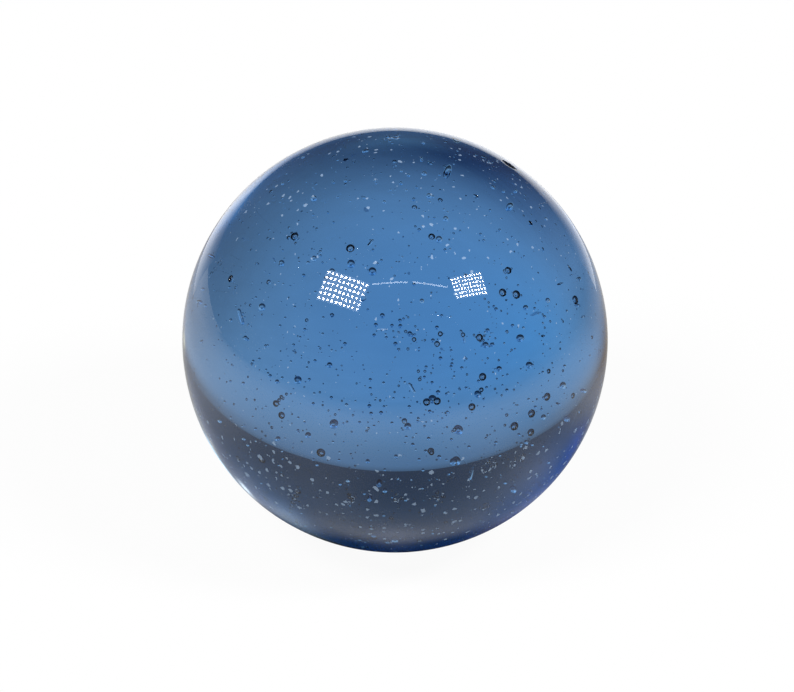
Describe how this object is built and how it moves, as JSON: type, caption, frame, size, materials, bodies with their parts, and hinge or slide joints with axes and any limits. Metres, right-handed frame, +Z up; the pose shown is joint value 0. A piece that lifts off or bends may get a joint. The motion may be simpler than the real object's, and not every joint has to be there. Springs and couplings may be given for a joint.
{
  "type": "glass marble",
  "caption": "Solid ball of clear blue glass with fine air bubbles inside, to roll, play with, display or use as a loose ball.",
  "frame": {"origin": "centre of the ball", "axes": "+Z up through the ball, -Z down to the point it rests on, -Y towards the viewer"},
  "size_m": [0.025, 0.025, 0.025],
  "materials": {
    "blue_glass": "polished, with fine handling scratches"
  },
  "bodies": {
    "root": {"glass_ball": "blue_glass"}
  },
  "joints": []
}
